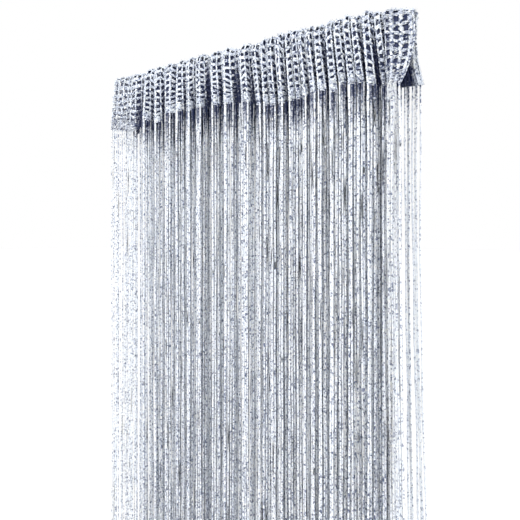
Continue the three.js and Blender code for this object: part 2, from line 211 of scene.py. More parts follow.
def sleeve_at(x):
    """How far the mean line is from the middle plane at the top and at the hem, and how it flares."""
    left = 1 - ease(x, -HUNG_WIDTH / 2, -HUNG_WIDTH / 2 + LEFT_END["length"])
    right = ease(x, HUNG_WIDTH / 2 - RIGHT_END["length"], HUNG_WIDTH / 2)
    return [
        middle + left * (LEFT_END[key] - middle) + right * (RIGHT_END[key] - middle)
        for middle, key in ((TOP_REACH, "top"), (HEM_REACH, "hem"), (FLARE, "flare"))
    ]


def swing(bend, u):
    """Where a sine-generated curve is at the share u of its length, and its direction there."""
    steps = (np.arange(SWING_STEPS) + 0.5) / SWING_STEPS
    turn = bend[:, None] * np.sin(math.pi * u[:, None] * steps)
    return np.cos(turn).mean(1) * u, np.sin(turn).mean(1) * u, bend * np.sin(math.pi * u)


# A table from which the bend of a stretch is read, by its slope.
BENDS = np.linspace(0, MAX_BEND, 400)
BEND_RUN, BEND_RISE, _ = swing(BENDS, np.ones_like(BENDS))
BEND_SLOPES = BEND_RISE / BEND_RUN


def hang(k, u, back, fall, lift, offset):
    """The places, in metres, of points of the hung cloth: at the share u of the way from turning line
    k to the next, on the front or the back, fall from 0 at the shoulder to 1 at the hem, lift the
    angle over the top, and offset out of the cloth's middle in millimetres."""
    side = back.astype(int)

    def end(line):
        x = LINE["top_x"][line] + LINE["lean"][line, side] * fall ** LINE["late"][line]
        x = x + LINE["bulge"][line, side] * np.sin(np.pi * fall)
        out = mix(LINE["out_top"][line], LINE["out"][line, side], fall)
        return x, out * mix(1, CREST_SHARE, np.sin(lift))

    x0, out0 = end(k)
    x1, out1 = end(k + 1)
    run, rise = x1 - x0, out1 - out0
    bend = np.interp(np.abs(rise) / run, BEND_SLOPES, BENDS)
    full_run, full_rise, _ = swing(bend, np.ones_like(bend))
    along_scale = run / full_run
    out_scale = np.divide(rise, full_rise, out=np.zeros_like(rise), where=full_rise > LEVEL_RISE)
    here_run, here_rise, turn = swing(bend, u)
    way = np.stack((np.cos(turn) * along_scale, np.sin(turn) * out_scale))
    way /= np.linalg.norm(way, axis=0)
    x = x0 + here_run * along_scale - way[1] * offset
    out = out0 + here_rise * out_scale + way[0] * offset
    top, hem, flare = sleeve_at(mix(LINE["x"][k], LINE["x"][k + 1], u))
    crown = top + TALLEST_RIDGE * TOP_SHARE * CREST_SHARE + CLOTH / 2
    shoulder = -(crown + mix(LINE["dip"][k], LINE["dip"][k + 1], u))
    low = -HEADING_HEIGHT - mix(LINE["drop"][k, side], LINE["drop"][k + 1, side], u)
    over = lift > 0
    y = np.where(over, (top + out) * np.cos(lift), mix(top, hem, fall**flare) + out)
    z = np.where(over, shoulder + (top + out) * np.sin(lift), mix(shoulder, low, fall))
    return np.stack((x, np.where(back, y, -y), z), axis=1) * MM


# -------- the flat cloth, in millimetres


def hem_columns():
    """Stations along the front hem: their turning lines, their shares of the way to the next one, and
    the length of cloth up to each."""
    k = np.repeat(np.arange(len(LINES) - 1), STATIONS)
    u = np.tile(np.arange(STATIONS) / STATIONS, len(LINES) - 1)
    k, u = np.append(k, len(LINES) - 2), np.append(u, 1.0)
    none = np.zeros(len(k))
    places = hang(k, u, none > 0, none + 1, none, none) / MM
    steps = np.linalg.norm(np.diff(places, axis=0), axis=1)
    return k, u, np.append(0, np.cumsum(steps))


HEM_K, HEM_U, HEM_ALONG = hem_columns()
CLOTH_WIDTH = HEM_ALONG[-1]


def column_at(along):
    """The turning line and the share of the way to the next for lengths along the front hem."""
    i = np.clip(np.searchsorted(HEM_ALONG, along, side="right") - 1, 0, len(HEM_ALONG) - 2)
    share = (along - HEM_ALONG[i]) / (HEM_ALONG[i + 1] - HEM_ALONG[i])
    u = HEM_U[i] + share * (np.where(HEM_K[i + 1] == HEM_K[i], HEM_U[i + 1], 1) - HEM_U[i])
    return HEM_K[i], u


def wales():
    """Lengths along the front hem at which the knitting's columns, and so the strings, stand."""
    last = CLOTH_WIDTH - SELVEDGE
    stands = [SELVEDGE]
    while stands[-1] < last:
        at = stands[-1]
        pitch = mix(SLACK_WALE, WALE, ease(at, SLACK_LENGTH / 2, SLACK_LENGTH))
        stands.append(at + mix(pitch, DRAWN_WALE, ease(at, last - 2 * DRAWN_LENGTH, last - DRAWN_LENGTH)))
    stands = np.array(stands) - SELVEDGE
    return SELVEDGE + stands * (last - SELVEDGE) / stands[-1]


WALES = wales()

# The rows of the knitting, counted from the front hem over the top to the back hem. Those next to a
# hem are closer together.
LEG_ROWS = 9  # from a hem to its shoulder
TOP_ROWS = 3  # over the round top
ROWS = 2 * LEG_ROWS + TOP_ROWS
ROW = 8.5  # millimetres of cloth to a row
HEM_ROW_SHARE = 0.7  # of a row's height at the hem, against one higher up


def slack_at(along):
    """How much of the slack panel's knitting there is at a length along the cloth."""
    return 1 - ease(along, SLACK_LENGTH / 2, SLACK_LENGTH)


def drawn_at(along):
    """The same for the drawn panel's."""
    return ease(along, CLOTH_WIDTH - 2 * DRAWN_LENGTH, CLOTH_WIDTH - 1.5 * DRAWN_LENGTH)


def level_at(row):
    """Back or front, fall and lift for places given in rows from the front hem."""
    back = row > ROWS / 2
    from_hem = np.where(back, ROWS - row, row)
    leg = np.clip(from_hem / LEG_ROWS, 0, 1)
    rise = leg * (HEM_ROW_SHARE + (1 - HEM_ROW_SHARE) * leg)
    over = np.clip((row - LEG_ROWS) / TOP_ROWS, 0, 1) * math.pi
    return back, 1 - rise, np.minimum(over, math.pi - over)


def hang_flat(flat):
    """Hangs points of the flat cloth, each (along, row, out), in its folds. Returns places in metres
    and how far each of them is sunk behind the ridges around it, in millimetres."""
    along, row, out = flat.T
    k, u = column_at(along)
    back, fall, lift = level_at(row)
    side = back.astype(int)

    def height(line, key):
        return mix(LINE[key + "out_top"][line], LINE[key + "out"][line, side], fall)

    around = mix(height(k, "around_"), height(k + 1, "around_"), u)
    stand = mix(height(k, ""), height(k + 1, ""), (1 - np.cos(np.pi * u)) / 2)
    return hang(k, u, back, fall, lift, out), around - stand


# -------- settings


class HeadingSettings(PropertyGroup):
    """The knitted heading."""

    chain_width: FloatProperty(
        name="Chain width", description="Width of an upright chain of the knitting",
        default=0.0038, unit="LENGTH",
    )
    rung_width: FloatProperty(
        name="Rung width", description="Width of one strand across a mesh", default=0.002, unit="LENGTH"
    )
    looseness: FloatProperty(
        name="Looseness", description="How far the chains slip up and down against each other",
        default=0.0022, unit="LENGTH",
    )
    seed: IntProperty(name="Seed", description="Which of the uneven knittings is made", default=3)


class StringSettings(PropertyGroup):
    """The rows of strings."""

    thickness: FloatProperty(
        name="Thickness", description="Thickness of a string's main strand", default=0.0024, unit="LENGTH"
    )
    sway: FloatProperty(
        name="Sway", description="How far a string strays from its plumb line",
        default=0.0008, unit="LENGTH",
    )
    seed: IntProperty(name="Seed", description="Which of the uneven rows is made", default=11)


class YarnSettings(PropertyGroup):
    """The colours of the yarn."""

    silver: FloatVectorProperty(
        name="Silver", description="Colour of the metallised film",
        subtype="COLOR_GAMMA", default=(0.92, 0.948, 1.0),
    )
    string_silver: FloatVectorProperty(
        name="Strings' silver", description="The same on the strings",
        subtype="COLOR_GAMMA", default=(0.93, 0.957, 1.0),
    )
    # shade: the core's colour, which is also the colour of the painted shade in the folds of the knitting,
    # between the strings and below the hems.
    shade: FloatVectorProperty(
        name="Shade", description="Colour of the yarn's core, deep in the knitting",
        subtype="COLOR_GAMMA", default=(0.086, 0.138, 0.285),
    )


class StageSettings(PropertyGroup):
    """The light on the curtain."""

    key_power: FloatProperty(name="Key light", description="Power of the lamp", default=25.0, unit="POWER")
    fill_power: FloatProperty(name="Fill light", description="Power of the lamp", default=8.0, unit="POWER")
    surround: FloatProperty(name="Surround", description="Brightness of the room", default=1.54)


SETTINGS = {
    "curtain_heading": HeadingSettings,
    "curtain_strings": StringSettings,
    "curtain_yarn": YarnSettings,
    "curtain_stage": StageSettings,
}

# -------- materials

# Real film is some 0.3 mm wide. Its turns and fluff are drawn five to seven times as coarse, to show.
FLUFF = 0.0022  # metres from one tuft of fluff to the next
PATCH = 0.03  # metres from one shinier or duller patch to the next
CORE_TURNS = 0.13  # share of the turns where the core shows
CORE_SILVER = (0.27, 0.35)  # how silver these are, from the darkest to the lightest
# The brightest turns, up to white, are painted glints.
FILM_TURNS = ((0.2, 0.95), (0.6, 1.0), (0.85, 1.06))  # how silver the rest are, and then white
# lit: the colour that a mark below 0 takes the yarn towards, for painted highlights and lighter tones.
# turn: metres from one turn of the film to the next. glint: how much of the dark a painted glint on the
# brightest turns takes away, low on the curtain. dullness: how much the fluff darkens the film. metal:
# how much of it shines as metal. sheer: how much lets light through.
KNITTED = {"painted_highlight_and_tone": "#f2f8ff", "turn": 0.002, "painted_glint": 1.0, "dullness": 0.41, "metal": 0.2, "sheer": 0.0}
CUT = {"painted_highlight_and_tone": "#d0d6df", "turn": 0.0016, "painted_glint": 0.75, "dullness": 0.36, "metal": 0.05, "sheer": 0.9}
FLOOR_GLOW = 0.18  # light that the floor gives off where it is seen


def linear(colour):
    """The linear value of an sRGB colour, given as a hex string or as three numbers from 0 to 1."""
    if isinstance(colour, str):
        colour = [int(colour[i : i + 2], 16) / 255 for i in (1, 3, 5)]
    return tuple(c / 12.92 if c <= 0.04045 else ((c + 0.055) / 1.055) ** 2.4 for c in colour) + (1.0,)


def set_inputs(tree, node, inputs):
    """Sets a node's inputs, or links those given as a socket."""
    for name, value in inputs.items():
        if isinstance(value, bpy.types.NodeSocket):
            tree.links.new(value, node.inputs[name])
        else:
            node.inputs[name].default_value = value


def add_node(tree, kind, inputs=None, **settings):
    """A shader node of that kind with these settings and inputs."""
    node = tree.nodes.new("ShaderNode" + kind)
    for name, value in settings.items():
        setattr(node, name, value)
    set_inputs(tree, node, inputs or {})
    return node


def metallised_yarn(name, silver, shade, painted_highlight_and_tone, turn, painted_glint, dullness, metal, sheer):
    """Polyester film with a metal coat, wound round a fibre core: a soft bluish silver that glitters,
    partly by painted glints on the brightest turns, over a dull dark core whose colour is also the painted
    shade deep in the knitting and between the strings."""
    material = bpy.data.materials.new(name)
    material.use_nodes = True
    tree = material.node_tree
    place = add_node(tree, "TexCoord").outputs["Object"]
    # The mark: painted shade above 0, and painted highlight or lighter tone below 0.
    deep = add_node(tree, "Attribute", attribute_name="deep").outputs["Fac"]
    turns = add_node(tree, "TexVoronoi", {"Vector": place, "Scale": 1 / turn, "Randomness": 1.0})
    tufted = {"Vector": place, "Scale": 1 / FLUFF, "Detail": 4.0, "Roughness": 0.65}
    fluff = add_node(tree, "TexNoise", tufted).outputs["Fac"]
    patched = {"Vector": place, "Scale": 1 / PATCH, "Detail": 2.0}
    patches = add_node(tree, "TexNoise", patched).outputs["Fac"]

    # The film's own colour, by the turn, with painted glints on the brightest turns.
    one_turn = add_node(tree, "SeparateColor", {"Color": turns.outputs["Color"]}).outputs["Red"]
    flecks = add_node(tree, "ValToRGB", {"Fac": one_turn})
    darkest, core = (linear([mix(s, c, share) for s, c in zip(shade, silver)]) for share in CORE_SILVER)
    ramp = flecks.color_ramp.elements
    ramp[0].color = darkest
    ramp[1].color = (1, 1, 1, 1)
    ramp.new(CORE_TURNS).color = core
    for at, tone in FILM_TURNS:
        ramp.new(at).color = linear([min(1, c * tone) for c in silver])

    # Painted shade where the mark is above 0, and duller where it is fluffy, but for the turns with a
    # painted glint, which is weaker from 0.4 m below the top upwards, and weakest above 0.12 m.
    fluffy = {"Value": fluff, "From Min": 0.42, "From Max": 0.56, "To Min": dullness, "To Max": 0.0}
    dulled = add_node(tree, "MapRange", fluffy).outputs["Result"]
    level = add_node(tree, "SeparateXYZ", {"Vector": place}).outputs["Z"]
    down = {"Value": level, "From Min": -0.12, "From Max": -0.4, "To Min": 0.2 * painted_glint, "To Max": painted_glint}
    strength = add_node(tree, "MapRange", down).outputs["Result"]
    brightest = {"Value": one_turn, "From Min": 0.84, "From Max": 0.9, "To Max": strength}
    painted_glints = add_node(tree, "MapRange", brightest).outputs["Result"]
    unlit = add_node(tree, "Math", {0: deep, 1: dulled}, operation="ADD").outputs[0]
    sunk = add_node(tree, "Math", {0: unlit, 1: painted_glints}, operation="SUBTRACT", use_clamp=True).outputs[0]
    film_to_shade = {0: sunk, 6: flecks.outputs["Color"], 7: linear(shade)}
    shaded = add_node(tree, "Mix", film_to_shade, data_type="RGBA").outputs[2]

    # Painted highlight, and lighter tone, towards the lit colour, where the mark is below 0.
    lightened = add_node(tree, "Math", {0: deep, 1: -1.0}, operation="MULTIPLY", use_clamp=True).outputs[0]
    shaded_to_lightened = {0: lightened, 6: shaded, 7: linear(painted_highlight_and_tone)}
    bright = add_node(tree, "Mix", shaded_to_lightened, data_type="RGBA").outputs[2]

    shiny_to_dull = {"Value": patches, "From Min": 0.3, "From Max": 0.7, "To Min": 0.34, "To Max": 0.5}
    rough = add_node(tree, "MapRange", shiny_to_dull).outputs["Result"]
    relief = {"Height": turns.outputs["Distance"], "Strength": 0.7, "Distance": 0.0005}
    coarse = add_node(tree, "Bump", relief).outputs["Normal"]
    fine_relief = {"Height": fluff, "Strength": 0.7, "Distance": 0.0008, "Normal": coarse}
    fine = add_node(tree, "Bump", fine_relief).outputs["Normal"]
    finish = {"Base Color": bright, "Roughness": rough, "Metallic": metal, "Normal": fine}
    finish |= {"Subsurface Weight": sheer, "Subsurface Radius": (1, 1, 1), "Subsurface Scale": 0.003}
    set_inputs(tree, tree.nodes["Principled BSDF"], finish)
    return material


def pale_floor():
    """Matt white vinyl, lit up where it is seen, so that it runs into the room without a line and
    still takes the curtain's shadow."""
    material = bpy.data.materials.new("matt white vinyl")
    material.use_nodes = True
    tree = material.node_tree
    seen = add_node(tree, "LightPath").outputs["Is Camera Ray"]
    glow = add_node(tree, "MapRange", {"Value": seen, "To Min": 0.0, "To Max": FLOOR_GLOW})
    finish = {"Base Color": linear("#c8c8c8"), "Roughness": 0.9}
    finish |= {"Emission Color": (1, 1, 1, 1), "Emission Strength": glow.outputs["Result"]}
    set_inputs(tree, tree.nodes["Principled BSDF"], finish)
    return material


# -------- strands

SIDES = 4  # of a strand
SAME_PLACE = 1e-7  # metres; the caps of a strand are welded to it


def strands_to_mesh(name, strands):
    """One mesh of four-sided strands, each a list of points and their radii, closed at both ends."""
    data = bpy.data.curves.new(name, "CURVE")
    data.dimensions = "3D"
    data.twist_mode = "Z_UP"
    data.bevel_depth = 1.0
    data.bevel_resolution = 0
    data.use_fill_caps = True
    for points, radii in strands:
        spline = data.splines.new("POLY")
        spline.points.add(len(points) - 1)
        spline.points.foreach_set("co", np.hstack((points, np.ones((len(points), 1)))).ravel())
        spline.points.foreach_set("radius", radii)
    drawn = bpy.data.objects.new(name, data)
    bpy.context.scene.collection.objects.link(drawn)
    mesh = bpy.data.meshes.new_from_object(drawn.evaluated_get(bpy.context.evaluated_depsgraph_get()))
    bpy.data.objects.remove(drawn)
    bpy.data.curves.remove(data)
    mesh.name = name
    return mesh


def corner_values(strands):
    """The values of the strands' points, in the order of the mesh's vertices: first the caps, from the
    last strand to the first and each with its end before its start, and then one ring after another."""
    caps = [np.repeat((values[-1], values[0]), SIDES) for values in reversed(strands)]
    return np.concatenate(caps + [np.repeat(values, SIDES) for values in strands])


def vertex_places(mesh):
    """The places of a mesh's vertices, one to a row."""
    places = np.empty(len(mesh.vertices) * 3, np.float32)
    mesh.vertices.foreach_get("co", places)
    return places.reshape(-1, 3).astype(float)


def finish_piece(mesh, places, deep, material, node):
    """Puts the mesh's vertices in place, marks their painted shade, painted highlights and tone, and makes
    it a piece, in place of a node of the part."""
    mesh.vertices.foreach_set("co", places.astype(np.float32).ravel())
    mark = mesh.attributes.new("deep", "FLOAT", "POINT")
    mark.data.foreach_set("value", deep.astype(np.float32))
    welded = bmesh.new()
    welded.from_mesh(mesh)
    bmesh.ops.remove_doubles(welded, verts=welded.verts, dist=SAME_PLACE)
    welded.to_mesh(mesh)
    welded.free()
    mesh.polygons.foreach_set("use_smooth", [True] * len(mesh.polygons))
    mesh.materials.clear()
    mesh.materials.append(bpy.data.materials[material])
    mesh.update()
    piece = bpy.data.objects.new(mesh.name, mesh)
    bpy.context.scene.collection.objects.link(piece)
    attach(piece, "root")
    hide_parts(node)


class CURTAIN_OT_yarn(Operator):
    """Make the yarn's materials, one for the knitting and a more open one for the strings"""

    bl_idname = "curtain.yarn"
    bl_label = "Spin the yarn"

    def execute(self, context):
        yarn = context.scene.curtain_yarn
        metallised_yarn("knitted metallised yarn", yarn.silver, yarn.shade, **KNITTED)
        metallised_yarn("cut metallised yarn", yarn.string_silver, yarn.shade, **CUT)
        return {"FINISHED"}


# -------- the heading, in millimetres and rows

FLATNESS = 0.65  # a strand's thickness against its width
DRAWN_YARN = 0.72  # thickness that the yarn keeps in the drawn panel
CALM_ROWS = 2.5  # from a hem to where they slip in full
SLIP_TURNS = (0.9, 0.35)  # radians to a row, of the two waves that a chain slips by
CHAIN_STEPS = 4  # to a row
CHAIN_OUT = 0.35  # how far a chain's middle stands out of the cloth's
BRAID, BRAID_OUT = 0.75, 0.7  # how far its plies swing along the cloth and out of it
RUNG_PLIES = 3
RUNG_SHARES = (0.0, 0.36, 0.68, 1.0)  # of the way to the next chain, of a rung's points
RUNG_SPREAD, RUNG_STACK = 0.12, 0.3  # from ply to ply, in rows and in millimetres out of the cloth
HEM_RUNGS = (0.5, 1, 1.5)  # rows from either hem to its first rungs
CLOSED_ROWS = (1.4, 3.4)  # from a hem to where the meshes begin to open and are open
CLOSED_PATCH = 1.8  # the most that the second is further up
CLOSED_HEM, CLOSED_SLACK = 0.9, 0.6  # how much more so by a hem and in the slack panel
CAST_RADIUS, CAST_STEP, CAST_IN = 1.2, 2.7, 0.12  # of the edge along each hem; the last is in rows
SELVEDGE_RADIUS, SELVEDGE_STEP, SELVEDGE_IN = 0.75, 2.4, 0.7  # down each end
# Shade threads: dark threads inside the cloth, all in painted shade, which stand for the shade behind the
# meshes.
SHADE_THREAD_COUNT = 4  # between two chains
SHADE_THREAD_DEPTH = 1.3  # how far inside the cloth they run
SHADE_THREAD_RADIUS = 1.15
SHADE_THREAD_IN = 0.1  # rows from either hem to their ends
# Loose ends of film all over the heading, and longer, finer ones along the top edge. rows: between
# which they stand. lean: how far they lean over. reach: the least and the most they stand out.
TUFTS, TOP_TUFTS = 2600, 1800
TUFT = {"rows": (0.3, ROWS - 0.3), "lean": 1.3, "reach": (0.8, 2.6), "radius": 0.45}
TOP_TUFT = {"rows": (LEG_ROWS - 1, LEG_ROWS + TOP_ROWS + 1), "lean": 2, "reach": (1.5, 4.5), "radius": 0.3}
TUFT_STRAY, TUFT_OUT = 2.5, 0.6  # of a tuft's foot, from its chain and out of the cloth

# How dark the yarn is marked, of a whole step from the film to the core's dark colour, and where; it is
# painted shade, but for the slack panel's own darker tone. A pair is where it begins and where it is
# full, or the other way round.
# Painted shade in the furrows, and on the strands' sides that face into the sleeve.
FURROW_SHADE = (4.0, 12.0)  # a whole step by itself: millimetres behind the ridges around
DARK_INSIDE, INSIDE = 0.75, (-0.3, 0.8)  # millimetres inwards from the middle of the cloth
# Painted shade in the drawn panel; the slack panel is only darker, and has painted shade by its front hem.
DARK_DRAWN = 0.2  # in the drawn panel
DARK_SLACK = 0.08  # in the slack panel
DARK_SLACK_HEM, SLACK_HEM = 0.22, 6  # more there, up to that many rows from the front hem
# How much of that is taken off, as painted light, and where; below 0 it is a painted highlight.
LESS_SHADE_THREADS = 0.35  # at the shade threads of the slack panel
LESS_EDGING, EDGING = 0.8, (2.0, 7.0)  # as a share, millimetres from either end of the cloth
# Painted highlight on the crests and on the tufts, which stand out.
LESS_CREST, CREST = 0.5, (1.2, 2.2)  # millimetres outwards from the middle of the cloth
LESS_DRAWN_EDGE = 0.25  # at the back end of the drawn panel
LESS_DRAWN_HEM, DRAWN_HEM = 0.3, 3  # there, up to that many rows from the back hem


class CURTAIN_OT_heading(Operator):
    """Knit the heading flat, from upright chains with strands across them, and hang it in its folds"""

    bl_idname = "curtain.heading"
    bl_label = "Knit the heading"

    def execute(self, context):
        settings = context.scene.curtain_heading
        chance = np.random.default_rng(settings.seed)
        self.slip = settings.looseness / MM / ROW
        # Each chain slips by its own slow waves, so that the strands across it slant.
        self.waves = chance.uniform(0, 2 * math.pi, (len(WALES), len(SLIP_TURNS)))
        self.heights = chance.uniform(0.3, 1, (len(WALES), len(SLIP_TURNS)))
        self.patches = chance.uniform(0, 1, len(WALES))
        chains = self.chains(settings.chain_width / MM, chance) + self.tufts(chance)
        rungs = self.rungs(settings.rung_width / MM, chance) + self.cast_edges(chance)
        self.hang_up("heading_chains", chains)
        self.hang_up("heading_rungs", rungs)
        self.hang_up("heading_shade_threads", self.shade_threads(chance), fully_shaded=1)
        return {"FINISHED"}

    def slipped(self, i, row):
        """Where chain i has its stitch for that row."""
        calm = np.clip(np.minimum(row, ROWS - row) / CALM_ROWS, 0, 1)
        waves = zip(self.heights[i], SLIP_TURNS, self.waves[i])
        wave = sum(height * np.sin(turn * row + start) for height, turn, start in waves)
        return row + self.slip * calm * wave

    def yarn_left(self, along):
        """How much of its thickness the yarn keeps: less in the drawn panel."""
        return mix(1, DRAWN_YARN, drawn_at(along))

    def closed(self, i, row):
        """How closed the meshes are: more by the hems, in patches, and in the slack panel."""
        opening, open_at = CLOSED_ROWS
        by_hem = 1 - ease(min(row, ROWS - row), opening, open_at + CLOSED_PATCH * self.patches[i])
        return float(1 + CLOSED_HEM * by_hem + CLOSED_SLACK * slack_at(WALES[i]))

    def chains(self, width, chance):
        """Each upright chain, as two plies that cross twice in a row."""
        strands = []
        rows = np.linspace(0, ROWS, ROWS * CHAIN_STEPS + 1)
        for i, along in enumerate(WALES):
            down = np.clip(self.slipped(i, rows), 0, ROWS) * ROW
            turn = 2 * math.pi * rows + chance.uniform(0, 2 * math.pi) + chance.normal(0, 0.35, len(rows))
            kept = self.yarn_left(along)
            for side in (-1, 1):
                across = along + side * BRAID * kept * np.cos(turn) + chance.normal(0, 0.15, len(rows))
                out = CHAIN_OUT + side * BRAID_OUT * np.sin(turn) + chance.normal(0, 0.15, len(rows))
                radii = (width / 2 - BRAID) * kept * chance.uniform(0.8, 1.2, len(rows))
                strands.append((np.stack((across, down, out), axis=1), radii))
        return strands

    def rungs(self, width, chance):
        """The strands across each mesh, fanned out where the knitting is closed."""
        strands = []
        shares = np.array(RUNG_SHARES)
        middle = (RUNG_PLIES - 1) / 2
        rows = (*HEM_RUNGS, *range(2, ROWS - 1), *(ROWS - row for row in HEM_RUNGS))
        for i in range(len(WALES) - 1):
            for row in rows:
                left, right = self.slipped(i, float(row)), self.slipped(i + 1, float(row))
                closed = self.closed(i, row)
                for ply in range(RUNG_PLIES):
                    lean = chance.uniform(-0.07, 0.07)
                    down = mix(left - lean, right + lean, shares)
                    down += (ply - middle) * RUNG_SPREAD * closed + chance.normal(0, 0.025, len(shares))
                    points = (
                        mix(WALES[i], WALES[i + 1], shares),
                        np.clip(down, 0, ROWS) * ROW,
                        chance.normal(0, 0.35, len(shares)) + (ply - middle) * RUNG_STACK,
                    )
                    kept = self.yarn_left(WALES[i + 1])
                    radii = width / 2 * kept * chance.uniform(0.75, 1.25, len(shares))
                    strands.append((np.stack(points, axis=1), radii))
        return strands

    def cast_edges(self, chance):
        """A cast edge along each hem, and a lumpy selvedge down each end of the cloth."""
        along = np.arange(0, CLOTH_WIDTH, CAST_STEP)
        down = np.arange(0, ROWS * ROW, SELVEDGE_STEP)
        hems = (CAST_IN, ROWS - CAST_IN)
        ends = (SELVEDGE_IN, CLOTH_WIDTH - SELVEDGE_IN)
        lines = [(along, np.full(len(along), row * ROW), CAST_RADIUS) for row in hems]
        lines += [(np.full(len(down), at), down, SELVEDGE_RADIUS) for at in ends]
        strands = []
        for x, y, radius in lines:
            stray = chance.normal(0, 0.3, (len(x), 3))
            radii = radius * chance.uniform(0.65, 1.35, len(x))
            strands.append((np.stack((x, y, np.zeros(len(x))), axis=1) + stray, radii))
        return strands

    def shade_threads(self, chance):
        """Upright threads between each pair of chains, inside the cloth, all in painted shade, which stand
        for the shade behind the meshes.
        """
        strands = []
        rows = np.linspace(SHADE_THREAD_IN, ROWS - SHADE_THREAD_IN, ROWS + 1)
        for i in range(len(WALES) - 1):
            for n in range(SHADE_THREAD_COUNT):
                middle = mix(WALES[i], WALES[i + 1], (n + 1) / (SHADE_THREAD_COUNT + 1))
                along = middle + chance.normal(0, 0.25, len(rows))
                points = (along, rows * ROW, chance.normal(-SHADE_THREAD_DEPTH, 0.2, len(rows)) / FLATNESS)
                strands.append((np.stack(points, axis=1), np.full(len(rows), SHADE_THREAD_RADIUS)))
        return strands

    def tuft(self, kind, chance):
        """A tuft's row, the way from its foot to its tip, and its radius."""
        row = chance.uniform(*kind["rows"])
        way = np.append(chance.normal(0, kind["lean"], 2), chance.uniform(*kind["reach"]))
        return row, way, kind["radius"]

    def tufts(self, chance):
        """The loose ends of film."""
        strands = []
        for n in range(TUFTS + TOP_TUFTS):
            row, way, radius = self.tuft(TUFT, chance)
            if n >= TUFTS:
                row, way, radius = self.tuft(TOP_TUFT, chance)
            foot = np.array([chance.choice(WALES) + chance.normal(0, TUFT_STRAY), row * ROW, TUFT_OUT])
            strands.append((np.stack((foot, foot + way)), np.array([radius, radius * 0.6])))
        return strands

    def depth(self, flat, behind, fully_shaded):
        """The marks at points of the flat cloth: painted shade on the sides that face into the sleeve, in
        the furrows sunk behind the ridges, on the shade threads and in the drawn panel and by the slack
        panel's front hem, less of it on the slack panel's shade threads, along the selvedges and at the
        drawn panel's back end and back hem, and painted highlights on the crests and tufts; the slack panel
        is darker too.
        """
        along, row, out = flat.T
        slack, drawn = slack_at(along), drawn_at(along)
        deep = DARK_INSIDE * ease(-out, *INSIDE) + ease(behind, *FURROW_SHADE) + fully_shaded
        deep = np.clip(deep, 0, 1) - LESS_SHADE_THREADS * fully_shaded * slack
        selvedge = 1 - ease(np.minimum(along, CLOTH_WIDTH - along), *EDGING)
        front = 1 - ease(row, LEG_ROWS, LEG_ROWS + 1)
        edging = selvedge * (1 - drawn * front)
        deep = (deep + DARK_DRAWN * drawn + DARK_SLACK * slack) * (1 - LESS_EDGING * edging)
        deep -= LESS_CREST * ease(out, *CREST)
        back_hem = ease(row, ROWS - DRAWN_HEM, ROWS)
        deep -= drawn * (LESS_DRAWN_EDGE * selvedge * (1 - front) + LESS_DRAWN_HEM * back_hem)
        return deep + DARK_SLACK_HEM * slack * (1 - ease(row, 0, SLACK_HEM))

    def hang_up(self, name, strands, fully_shaded=0):
        """Hangs one piece's strands in the folds and marks their painted shade and highlights. The shade
        threads' strands are all in full painted shade."""
        mesh = strands_to_mesh(name, strands)
        flat = vertex_places(mesh)
        flat[:, 0] = np.clip(flat[:, 0], 0, CLOTH_WIDTH)
        flat[:, 1] = np.clip(flat[:, 1] / ROW, 0, ROWS)
        flat[:, 2] *= FLATNESS
        places, behind = hang_flat(flat)
        deep = self.depth(flat, behind, fully_shaded)
        finish_piece(mesh, places, deep, "knitted metallised yarn", "heading")


# -------- the strings

# The two kinds of strand in both rows. width: against the setting. swell: how much wider it is by its
# hem. tone: how much darker it is, below 0 for lighter, and tone_hem is how dark by its hem: a painted
# highlight on the thick ones and painted shade on the thin ones, just below the heading. sparse: how
# much further apart its slubs are.
THICK = {"width": 1, "swell": 0.2, "tone": 0.04, "tone_hem": -0.4, "sparse": 1}
THIN = {"width": 0.85, "swell": 1, "tone": -0.13, "tone_hem": 0.75, "sparse": 2}
STRAY = 0.8  # millimetres that a thin strand is out of its place, at most
INWARD = 1.6  # millimetres that the others hang further in than the thick ones
BAND, BANDING = 24, 0.09  # millimetres of hem to a darker or lighter band, and how they differ
ENDS_KEEP = 0.75  # share of the thin strands left below both ends' panels, but for the back's right
DRIFT = 9  # millimetres that the last strands at the right end drift outwards, at most

# In metres from here on.
TUCKED = 0.002  # how far above its hem a strand starts
NECK = 0.006  # from its hem to its next point
BY_HEM = (0.003, 0.036)  # below the hem, where a strand stops being as it is there and is as lower down
SWAYING = 0.06  # below the hem, to where a strand sways in full
SWAYS = ((1.3, 0.7), (6.0, 0.3))  # turns to a metre and share of each wave that it sways by
DRIFTING = (0.185, 0.223)  # how far right a strand begins to drift, and does in full
DRIFTING_DOWN = (0.1, 0.65)  # how far below the hem
SLUB = 0.0015  # half the length of a slub
FIRST_SLUB, LAST_SLUB = 0.012, 0.1  # below the hem, and above the cut end
SLUB_STEP, LOW_SLUB_STEP = 0.0175, 0.1  # from slub to slub, and where a strand hangs low
LOW = (0.45, 0.8)  # below the hem, where that begins and where it is full
SHORTEST_STEP = 0.0003  # between two points

# Tones, marked as for the heading: painted shade above 0, painted light below 0, and tone that differs
# at random. A pair is the metres below the hem where a change begins and is full.
LIGHTER = 0.18  # all strands
# Painted shade, darker lower down.
DARKER_DOWN, DOWN = 0.22, (0.1, 0.7)
BACK_LIGHTER = 0.3  # painted light on the back row, which lifts it out of the front row's shade
# Painted highlight on the slubs, stronger lower down, and painted shadow just above and below them.
SLUB_LIGHTER = 0.8
SLUB_LIGHTER_DOWN, SLUB_DOWN = 0.5, (0.3, 0.6)
FLANK_DARKER = 0.15  # just above and below a slub
FACING = (0.08, 0.9)  # painted shade on a strand's side towards the other row: low down, and by the hem
TURNED = (-0.6, 0.4)  # shares of its radius between which that begins

